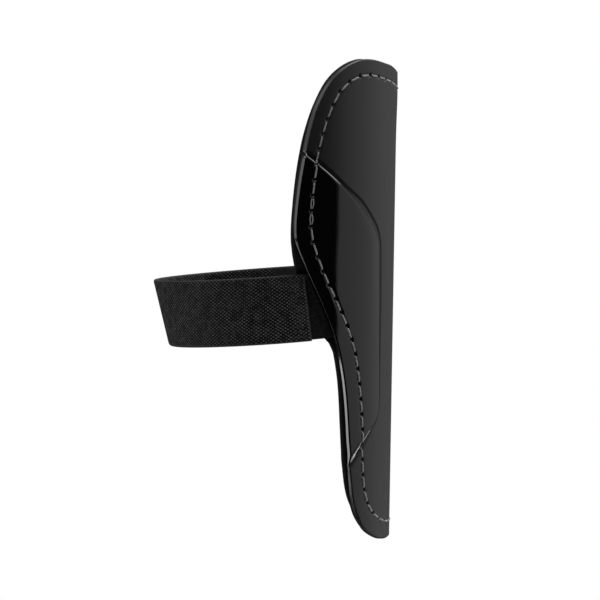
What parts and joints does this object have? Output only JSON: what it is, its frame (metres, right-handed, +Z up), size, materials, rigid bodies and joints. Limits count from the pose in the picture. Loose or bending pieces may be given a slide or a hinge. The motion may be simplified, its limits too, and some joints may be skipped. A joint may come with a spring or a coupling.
{
  "type": "shin guard",
  "caption": "Moulded shin guard with raised side panels, a sewn foam backing, and an elastic calf loop held by fabric tabs at its side edges.",
  "frame": {"origin": "inner face of the foam backing, on the shin's centre line and about halfway up, where the guard sits on the leg", "axes": "+Z up the leg towards the knee, -Y out of the front of the shin, +X to the right as seen from the front"},
  "size_m": [0.0988, 0.0954, 0.1876],
  "materials": {
    "shell_plastic": "satin black moulded plastic",
    "foam": "black foam faced with knitted cloth",
    "elastic": "black woven elastic",
    "tab_cloth": "black tricot cloth tape"
  },
  "bodies": {
    "root": {"shell": "shell_plastic", "foam_backing": "foam", "elastic_strap": "elastic", "strap_tab_right": "tab_cloth", "strap_tab_left": "tab_cloth"}
  },
  "joints": []
}
